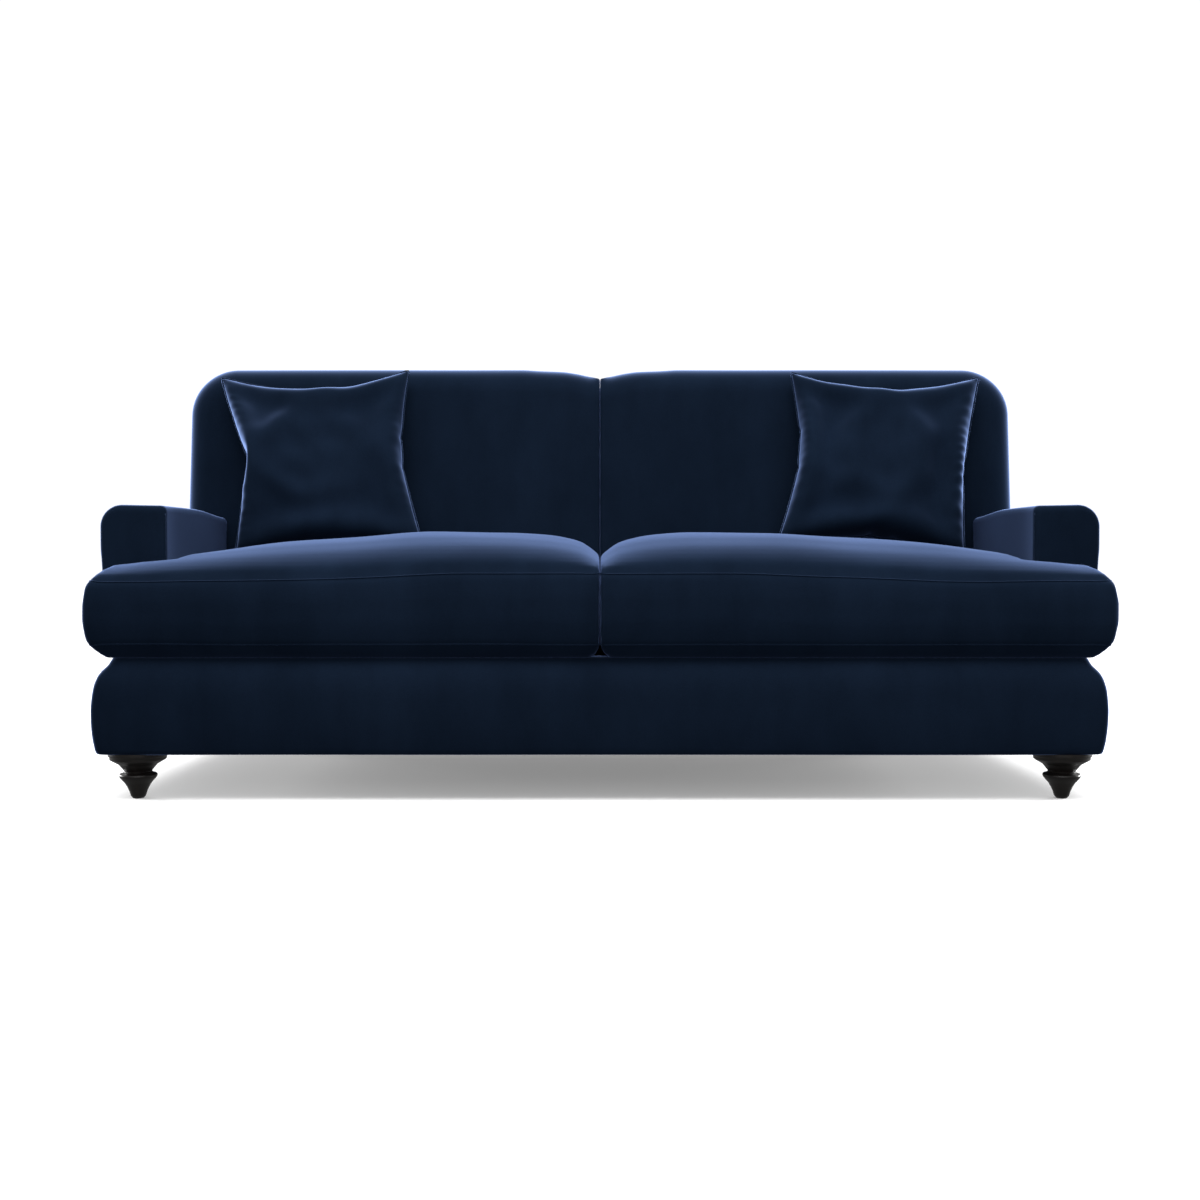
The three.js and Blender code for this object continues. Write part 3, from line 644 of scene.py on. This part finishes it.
def build_back(name, side):
    piece = f"back_upholstery_{name}"
    back = mesh_from_field(piece, BACK_LOW, BACK_HIGH, GRID["back"], back_field, side)
    # Painted shade: no painted sheen in the seam where the two halves of the back meet, rising to full
    # about 3 cm out.
    set_painted_sheen(back, smooth_step(np.abs(coordinates(back.data)[:, 0]), 0.003, 0.03))
    finish_piece(back, FRAME_BODY, "velvet", [f"back_cover_{name}", f"back_pad_{name}"])


def outside_field(x, y, z):
    u = np.abs(x)
    outline = back_outline(u, z)[2] + 0.002
    rear = y - back_rear_y(z) + 0.0008 * ripple(x, y, z, 0.3, 9)
    body = meet(outline, rear, 0.008)
    body = np.maximum(body, back_rear_y(z) - 0.02 - y)
    return meet(body, OUTSIDE_LOW[2] - z, 0.006)


def build_outside():
    low, high = OUTSIDE_LOW, OUTSIDE_HIGH
    panel = mesh_from_field("back_outside_panel", low, high, GRID["outside"], outside_field)
    finish_piece(panel, FRAME_BODY, "velvet", ["back_outside_cover"])


# ------------------------------------------------------------------ seat cushions

SEAT_DROP = [
    (0.003, 0.048), (0.014, 0.038), (0.046, 0.018), (0.122, 0.003), (0.199, -0.0015), (0.353, -0.002),
    (0.507, 0.007), (0.66, 0.018), (0.803, 0.035), (0.88, 0.045), (0.902, 0.0475), (0.94, 0.053),
    (0.99, 0.058),
]
SEAT_RUN = [
    (0.0, 0.03), (0.026, 0.26), (0.054, 0.44), (0.098, 0.62), (0.155, 0.755), (0.20, 0.84),
    (0.256, 0.91), (0.33, 0.975), (0.40, 1.0), (0.47, 0.95), (0.53, 0.78), (0.58, 0.5), (0.62, 0.2),
]
SEAM_HEIGHT = [(0.0, 0.4398), (0.25, 0.4398), (0.43, 0.4326), (0.745, 0.4246), (0.99, 0.4246)]
BORDER = [
    (0.275, 0.038), (0.288, 0.024), (0.299, 0.0145), (0.303, 0.0105), (0.311, 0.007), (0.322, 0.004),
    (0.35, 0.0), (0.379, 0.0), (0.402, 0.003), (0.413, 0.0055), (0.4246, 0.011),
]
BORDER_TOP = 0.4246
BOTTOM_SEAM = 0.303
SEAM_INSET = 0.011
BOTTOM_SEAM_INSET = 0.0105
WING_PROUD = 0.005
SEAT_SINK = 0.0015
# How strong the painted sheen is on the seat cushions and on their upper and lower seams, and the height
# below which the gap between the cushions gets painted shade.
SHADED_GAP_TOP = 0.465
SEAT_PAINTED_SHEEN = 0.28
SEAM_PAINTED_SHEEN = {"top": 0.8, "bottom": 0.25}
INNER_PROUD = 0.002
INNER_BORDER = [(0.275, 0.018), (0.283, 0.009), (0.294, 0.0025), (0.31, 0.0003), (0.33, 0.0)]


def seam_height(u):
    return curve(u, SEAM_HEIGHT)


def seat_plan(u, y):
    """The cushion seen from above: a box with a wing that reaches across the front of the arm."""
    front = SEAT_LOW[1] - y
    body = meet(front, u - ARM_LOW[0] + ARM_CLEARANCE, 0.018)
    body = meet(body, y - SEAT_HIGH[1], 0.03)
    wing = meet(front, u - SEAT_HIGH[0] - WING_PROUD, 0.024)
    wing = meet(wing, y - ARM_FRONT + ARM_CLEARANCE, 0.02)
    return np.minimum(body, wing)


def beside_twin(u, z):
    """The side that presses against the other cushion: upright, and drawn in only at the bottom."""
    return SEAT_LOW[0] - INNER_PROUD + curve(z, INNER_BORDER) - u


def seat_field(side):
    def field(u, y, z):
        plan = seat_plan(u, y)
        seam = seam_height(u)
        swell = 0.0012 * ripple(side * u, y, z, 0.28, 11 + side)
        level = BOTTOM_SEAM + (z - BOTTOM_SEAM) * (BORDER_TOP - BOTTOM_SEAM) / (seam - BOTTOM_SEAM)
        border = plan + curve(np.where(z < BOTTOM_SEAM, z, level), BORDER) + swell
        border = np.maximum(border, SEAT_LOW[2] - SEAT_SINK - z)
        inner = beside_twin(u, z)
        box = np.maximum(meet(border, inner, 0.006), z - seam)
        run = curve(y - SEAT_LOW[1], SEAT_RUN)
        crown = seam + (SEAT_HIGH[2] - curve(u, SEAT_DROP) - seam) * run
        slope_u = np.gradient(crown, axis=0) / np.gradient(u, axis=0)
        slope_y = np.gradient(crown, axis=1) / np.gradient(y, axis=1)
        steep = np.sqrt(1 + slope_u**2 + slope_y**2)
        top = meet((z - crown) / steep, plan + SEAM_INSET, 0.02) + swell
        top = np.maximum(meet(top, inner, 0.005), seam - 0.03 - z)
        return np.minimum(box, top)

    return field


def build_seat(name, side):
    body = f"seat_cushion_{name}"
    cushion = mesh_from_field(body, SEAT_LOW, SEAT_HIGH, GRID["seat"], seat_field(side), side)
    set_coordinates(cushion.data, relax(coordinates(cushion.data), cushion.data))
    subdivide(cushion)
    x, _, z = coordinates(cushion.data).T
    # Painted shade: no painted sheen in the gap where the two cushions meet, below the gap's top.
    between = smooth_step(np.abs(x), 0.012, 0.003)
    between = between * smooth_step(z, SHADED_GAP_TOP, SHADED_GAP_TOP - 0.02)
    set_painted_sheen(cushion, SEAT_PAINTED_SHEEN * (1 - between))
    finish_piece(cushion, body, "velvet", [f"seat_cover_{name}", f"seat_core_{name}"])
    seams = ("top", SEAM_INSET, None), ("bottom", BOTTOM_SEAM_INSET, BOTTOM_SEAM)
    for label, inset, height in seams:
        left, right = SEAT_LOW[0], SEAT_HIGH[0] + WING_PROUD - inset
        front, rear = SEAT_LOW[1] + inset, SEAT_HIGH[1] - inset
        elbow_u, elbow_y = ARM_LOW[0] - ARM_CLEARANCE - inset, ARM_FRONT - ARM_CLEARANCE - inset
        corners = [
            (left, front, 0.006), (right, front, 0.028), (right, elbow_y, 0.018),
            (elbow_u, elbow_y, 0.006), (elbow_u, rear, 0.028), (left, rear, 0.006),
        ]
        flat = rounded_outline(corners)
        heights = seam_height(flat[:, 0]) - 0.001 if height is None else np.full(len(flat), height)
        path = np.column_stack([side * flat[:, 0], flat[:, 1], heights])
        seam = strand(f"seat_{label}_seam_{name}", laid_on(cushion, path, 0.0003), 0.0014)
        # Painted shade: the seam's painted sheen fades out near the gap between the cushions.
        clear = smooth_step(np.abs(coordinates(seam.data)[:, 0]), 0.003, 0.015)
        set_painted_sheen(seam, SEAM_PAINTED_SHEEN[label] * clear)
        finish_piece(seam, body, "velvet")


ZIP_PROUD = 0.0004
ZIP_PITCH = 0.003
ZIP_TOOTH = (0.0016, 0.0012, 0.0044)
ZIP_TAPE = 0.0052


def boxes(name, middles, size):
    """One mesh of equal boxes round the given middles."""
    corners = np.array([(x, y, z) for x in (-0.5, 0.5) for y in (-0.5, 0.5) for z in (-0.5, 0.5)])
    sides = [(0, 1, 3, 2), (4, 6, 7, 5), (0, 4, 5, 1), (2, 3, 7, 6), (0, 2, 6, 4), (1, 5, 7, 3)]
    points = (np.asarray(middles)[:, None] + corners * size).reshape(-1, 3)
    faces = [[8 * k + i for i in side] for k in range(len(middles)) for side in sides]
    obj = new_object(name, points, faces)
    obj.data.shade_flat()
    return obj


def build_zip(name, side):
    """The zip across the rear of a seat cushion: its tape and teeth, on which the slider runs."""
    slider_low, slider_high = node_box(f"zip_slider_{name}")
    middle_x = side * (SEAT_LOW[0] + SEAT_HIGH[0]) / 2
    reach = abs(middle_x - (slider_low[0] + slider_high[0]) / 2) + ZIP_TAPE
    height = (slider_low[2] + slider_high[2]) / 2
    body = f"seat_cushion_{name}"
    depth = SEAT_HIGH[1] + ZIP_PROUD
    tape = boxes(f"zip_tape_{name}", [(middle_x, depth - 0.001, height)], (2 * reach, 0.002, 2 * ZIP_TAPE))
    finish_piece(tape, body, "lining")
    count = int(2 * reach / ZIP_PITCH)
    middles = [(middle_x + (k - (count - 1) / 2) * ZIP_PITCH, depth, height) for k in range(count)]
    finish_piece(boxes(f"zip_teeth_{name}", middles, ZIP_TOOTH), body, "spring_steel")


# ------------------------------------------------------------------ scatter cushions

SCATTER_SHEET = 0.452
SCATTER_CELLS = 52
SCATTER_FRAMES = 40
CLOTH_STIFFNESS = 15
SCATTER_VOLUME = 0.012
SCATTER_START = 0.022
SCATTER_RISE = 0.003
SCATTER_PULL = {"inner": 0.022, "outer": 0.012, "top": 0.034, "bottom": 0.01}
SCATTER_RELAX = 160
SCATTER_CORNERS = {
    "top_outer": (0.891, 0.896),
    "top_inner": (0.446, 0.909),
    "bottom_inner": (0.400, 0.510),
    "bottom_outer": (0.817, 0.482),
}
SCATTER_LEAN = math.radians(22)
SCATTER_THICKNESS = 0.135
GATHERS = 15
GATHER_WIDTH = 0.05
GATHER_DEPTH = 0.2


def scatter_bag(name, seed):
    """Two flat square sheets joined along their edges, slightly uneven, ready to be filled."""
    cells = SCATTER_CELLS
    rng = np.random.default_rng(seed)
    points, faces, index = [], [], {}
    for sheet in (0, 1):
        for i in range(cells + 1):
            for j in range(cells + 1):
                rim = i in (0, cells) or j in (0, cells)
                if rim and sheet:
                    index[1, i, j] = index[0, i, j]
                    continue
                index[sheet, i, j] = len(points)
                a, b = i / cells, j / cells
                rise = SCATTER_RISE + SCATTER_START * 4 * math.sqrt(a * (1 - a) * b * (1 - b))
                rise += rng.uniform(-0.0003, 0.0003)
                depth = 0 if rim else rise * (2 * sheet - 1)
                points.append(((a - 0.5) * SCATTER_SHEET, depth, (b - 0.5) * SCATTER_SHEET))
        for i in range(cells):
            for j in range(cells):
                ring = (i, j), (i + 1, j), (i + 1, j + 1), (i, j + 1)
                face = [index[sheet, a, b] for a, b in ring]
                faces.append(face if sheet == 0 else face[::-1])
    bag = new_object(name, points, faces)
    rim = [(i, 0) for i in range(cells)] + [(cells, j) for j in range(cells)]
    rim += [(cells - i, cells) for i in range(cells)] + [(0, cells - j) for j in range(cells)]
    bag["rim"] = [index[(0, *place)] for place in rim]
    bag["corners"] = [bag["rim"][k * cells] for k in range(4)]
    return bag


def add_cloth(bag):
    """Cloth that swells until the bag holds its filling."""
    modifier = bag.modifiers.new("Cloth", "CLOTH")
    settings = modifier.settings
    settings.quality = 6
    settings.mass = 0.25
    settings.tension_stiffness = CLOTH_STIFFNESS
    settings.compression_stiffness = CLOTH_STIFFNESS / 3
    settings.shear_stiffness = CLOTH_STIFFNESS / 3
    settings.bending_stiffness = 0.4
    settings.use_pressure = True
    settings.use_pressure_volume = True
    settings.target_volume = SCATTER_VOLUME
    settings.pressure_factor = 4.0
    settings.effector_weights.gravity = 0
    modifier.collision_settings.use_collision = False
    modifier.point_cache.frame_start = 1
    modifier.point_cache.frame_end = SCATTER_FRAMES


def run_cloth(objects):
    """Steps every cloth together, then keeps the result in each mesh."""
    for number in range(1, SCATTER_FRAMES + 1):
        scene.frame_set(number)
    for obj in objects:
        apply_modifiers(obj)
    scene.frame_set(1)


def place_scatter(bag, side):
    """Smooths a filled bag, fits it to its corners on the seat, gathers its sides and rests it on
    the back."""
    filled = coordinates(bag.data)
    points = relax(filled, bag.data, SCATTER_RELAX)
    rim = list(bag["rim"])
    points[rim] = filled[rim]
    a, b, _, d = (points[k] for k in bag["corners"])
    across = (points[:, 0] - a[0]) / (b[0] - a[0])
    upward = (points[:, 2] - a[2]) / (d[2] - a[2])
    names = ("bottom_inner", "bottom_outer", "top_outer", "top_inner")
    if side < 0:
        across = 1 - across
    target = [np.array(SCATTER_CORNERS[n]) for n in names]
    across, upward = across[:, None], upward[:, None]
    lower = (1 - across) * (1 - upward) * target[0] + across * (1 - upward) * target[1]
    flat = lower + across * upward * target[2] + (1 - across) * upward * target[3]
    depth = points[:, 1] * SCATTER_THICKNESS / np.ptp(points[:, 1])
    u, v = across[:, 0], upward[:, 0]
    bow_up, bow_across = (np.maximum(4 * t * (1 - t), 0) for t in (v, u))
    flat[:, 0] += (SCATTER_PULL["inner"] * (1 - u) - SCATTER_PULL["outer"] * u) * bow_up
    flat[:, 1] += (SCATTER_PULL["bottom"] * (1 - v) - SCATTER_PULL["top"] * v) * bow_across
    near_edge = np.exp(-((0.99 - u) / GATHER_WIDTH) ** 2) * bow_up**0.5
    near_edge += 0.5 * np.exp(-(u / GATHER_WIDTH) ** 2) * bow_up
    gathers = np.sin(2 * math.pi * (GATHERS * v + 0.5 * np.sin(9 * v + side)))
    depth *= 1 + GATHER_DEPTH * near_edge * gathers
    middle = (SCATTER_LOW + SCATTER_HIGH) / 2
    lean = math.tan(SCATTER_LEAN)
    y = middle[1] + (flat[:, 1] - middle[2]) * lean + depth * math.cos(SCATTER_LEAN)
    z = flat[:, 1] - depth * math.sin(SCATTER_LEAN)
    y = np.minimum(y, back_face_y(z) - 0.003)
    set_coordinates(bag.data, np.column_stack([side * flat[:, 0], y, z]))


def finish_scatter(bag, name, side):
    place_scatter(bag, side)
    rim = coordinates(bag.data)[list(bag["rim"])]
    subdivide(bag)
    body = f"scatter_cushion_{name}"
    parts = [f"scatter_cover_{name}", f"scatter_filling_{name}"]
    finish_piece(bag, body, "velvet", parts)
    path = (np.roll(rim, 1, 0) + 2 * rim + np.roll(rim, -1, 0)) / 4
    seam = strand(f"scatter_seam_{name}", path, 0.0016)
    finish_piece(seam, body, "velvet")


# ------------------------------------------------------------------ feet

FOOT_PROFILE = [
    (0.0, 0.0), (0.010, 0.0), (0.0143, 0.005), (0.017, 0.014), (0.0205, 0.022), (0.026, 0.031),
    (0.032, 0.0375), (0.0355, 0.042), (0.0363, 0.045), (0.0355, 0.048), (0.0295, 0.0500),
    (0.026, 0.052), (0.027, 0.055), (0.032, 0.061), (0.037, 0.067), (0.044, 0.071), (0.051, 0.075),
    (0.054, 0.077), (0.054, 0.082), (0.057, 0.084), (0.057, 0.0914), (0.0, 0.0914),
]
FOOT_SIDES = 72


def build_foot(name, corner):
    low, high = node_box(f"leg_{corner}_{name}")
    centre = (low + high) / 2
    profile = [FOOT_PROFILE[0]]
    for (r1, z1), (r2, z2) in zip(FOOT_PROFILE[:-1], FOOT_PROFILE[1:]):
        profile += [(r1 + (r2 - r1) * t, z1 + (z2 - z1) * t) for t in (0.12, 0.88)]
    profile.append(FOOT_PROFILE[-1])
    points, faces = [], []
    for radius, height in profile[1:-1]:
        for k in range(FOOT_SIDES):
            angle = 2 * math.pi * k / FOOT_SIDES
            x, y = radius * math.cos(angle), radius * math.sin(angle)
            points.append((centre[0] + x, centre[1] + y, low[2] + height))
    for ring in range(len(profile) - 3):
        for k in range(FOOT_SIDES):
            a, b = ring * FOOT_SIDES + k, ring * FOOT_SIDES + (k + 1) % FOOT_SIDES
            faces.append((a, b, b + FOOT_SIDES, a + FOOT_SIDES))
    faces.append(tuple(reversed(range(FOOT_SIDES))))
    last = (len(profile) - 3) * FOOT_SIDES
    faces.append(tuple(range(last, last + FOOT_SIDES)))
    foot = new_object(f"foot_{corner}_{name}", points, faces)
    foot.data.set_sharp_from_angle(angle=math.radians(40))
    finish_piece(foot, FRAME_BODY, "stained_wood", [f"leg_{corner}_{name}"])


# ------------------------------------------------------------------ studio


ROOM_ABOVE = 1.0
ROOM_BELOW = 0.3
SKY_LIGHT = 2.8
KEY_LIGHT = 45
SIDE_LIGHT = 100
FRONT_LIGHT = 50
FLOOR_GLOW = 0.2
FLOOR_REACH = 30
BACKDROP = 1.05
CAMERA_PLACE = (0, -3.28, 0.455)
CAMERA_TILT = math.radians(1.36)
CAMERA_LENS = 44.2


def build_floor():
    corners = [(x * FLOOR_REACH, y * FLOOR_REACH, 0) for x, y in ((-1, -1), (1, -1), (1, 1), (-1, 1))]
    floor = new_object("floor", corners, [(0, 1, 2, 3)])
    glow = {"Roughness": 0.9, "Emission Color": (1, 1, 1, 1), "Emission Strength": FLOOR_GLOW}
    made = Shader("floor", (0.8, 0.8, 0.8), glow)
    made.set("Base Color", made.mix(made.noise(2.0), (0.79, 0.79, 0.79, 1), (0.81, 0.81, 0.81, 1)))
    floor.data.materials.append(made.material)
    floor.visible_diffuse = False
    floor.visible_glossy = False


def add_light(name, place, target, size, power):
    data = bpy.data.lights.new(name, "AREA")
    data.shape = "RECTANGLE"
    data.size, data.size_y = size
    data.energy = power
    light = bpy.data.objects.new(name, data)
    light.location = place
    light.rotation_euler = (Vector(target) - Vector(place)).to_track_quat("-Z", "Y").to_euler()
    scene.collection.objects.link(light)


def build_studio():
    world = bpy.data.worlds.new("studio")
    world.use_nodes = True
    tree = world.node_tree
    coords = tree.nodes.new("ShaderNodeTexCoord")
    split = tree.nodes.new("ShaderNodeSeparateXYZ")
    height = tree.nodes.new("ShaderNodeMapRange")
    height.inputs["From Min"].default_value = -0.2
    height.inputs["From Max"].default_value = 1.0
    height.inputs["To Min"].default_value = ROOM_BELOW
    height.inputs["To Max"].default_value = ROOM_ABOVE
    room = tree.nodes["Background"]
    backdrop = tree.nodes.new("ShaderNodeBackground")
    backdrop.inputs["Strength"].default_value = BACKDROP
    for light in (room, backdrop):
        light.inputs["Color"].default_value = (1, 1, 1, 1)
    seen = tree.nodes.new("ShaderNodeLightPath")
    mixed = tree.nodes.new("ShaderNodeMixShader")
    tree.links.new(coords.outputs["Generated"], split.inputs[0])
    tree.links.new(split.outputs["Z"], height.inputs["Value"])
    tree.links.new(height.outputs["Result"], room.inputs["Strength"])
    tree.links.new(seen.outputs["Is Camera Ray"], mixed.inputs[0])
    tree.links.new(room.outputs[0], mixed.inputs[1])
    tree.links.new(backdrop.outputs[0], mixed.inputs[2])
    tree.links.new(mixed.outputs[0], tree.nodes["World Output"].inputs["Surface"])
    scene.world = world
    data = bpy.data.lights.new("sky_panel", "SUN")
    data.energy = SKY_LIGHT
    data.angle = math.radians(80)
    scene.collection.objects.link(bpy.data.objects.new("sky_panel", data))
    add_light("key_panel", (0, -1.4, 2.7), (0, 0.2, 0.6), (2.2, 1.2), KEY_LIGHT)
    add_light("front_panel", (0, -5.0, 1.2), (0, 0, 0.4), (3.0, 2.0), FRONT_LIGHT)
    for name, side in SIDES.items():
        place, target = (side * 3.0, 0.9, 0.35), (side * 0.9, 0, 0.45)
        add_light(f"side_panel_{name}", place, target, (1.6, 0.6), SIDE_LIGHT)


def build_camera():
    data = bpy.data.cameras.new("camera")
    data.lens = CAMERA_LENS
    data.sensor_width = 36
    camera = bpy.data.objects.new("camera", data)
    camera.location = CAMERA_PLACE
    camera.rotation_euler = (math.pi / 2 - CAMERA_TILT, 0, 0)
    scene.collection.objects.link(camera)
    scene.camera = camera


# ------------------------------------------------------------------ assembly

def build_scatters():
    """Fills both scatter bags together as cloth, and sets them on the seat."""
    bags = {name: scatter_bag(f"scatter_cushion_{name}", 20 + side) for name, side in SIDES.items()}
    for bag in bags.values():
        add_cloth(bag)
    run_cloth(bags.values())
    for name, side in SIDES.items():
        finish_scatter(bags[name], name, side)


build_studio()
build_camera()
build_floor()
dress_cad_nodes()
build_base()
build_deck()
build_outside()
for side_name, side_sign in SIDES.items():
    build_arm(side_name, side_sign)
    build_back(side_name, side_sign)
    build_seat(side_name, side_sign)
    build_zip(side_name, side_sign)
    for corner_name in ("front", "rear"):
        build_foot(side_name, corner_name)
build_scatters()
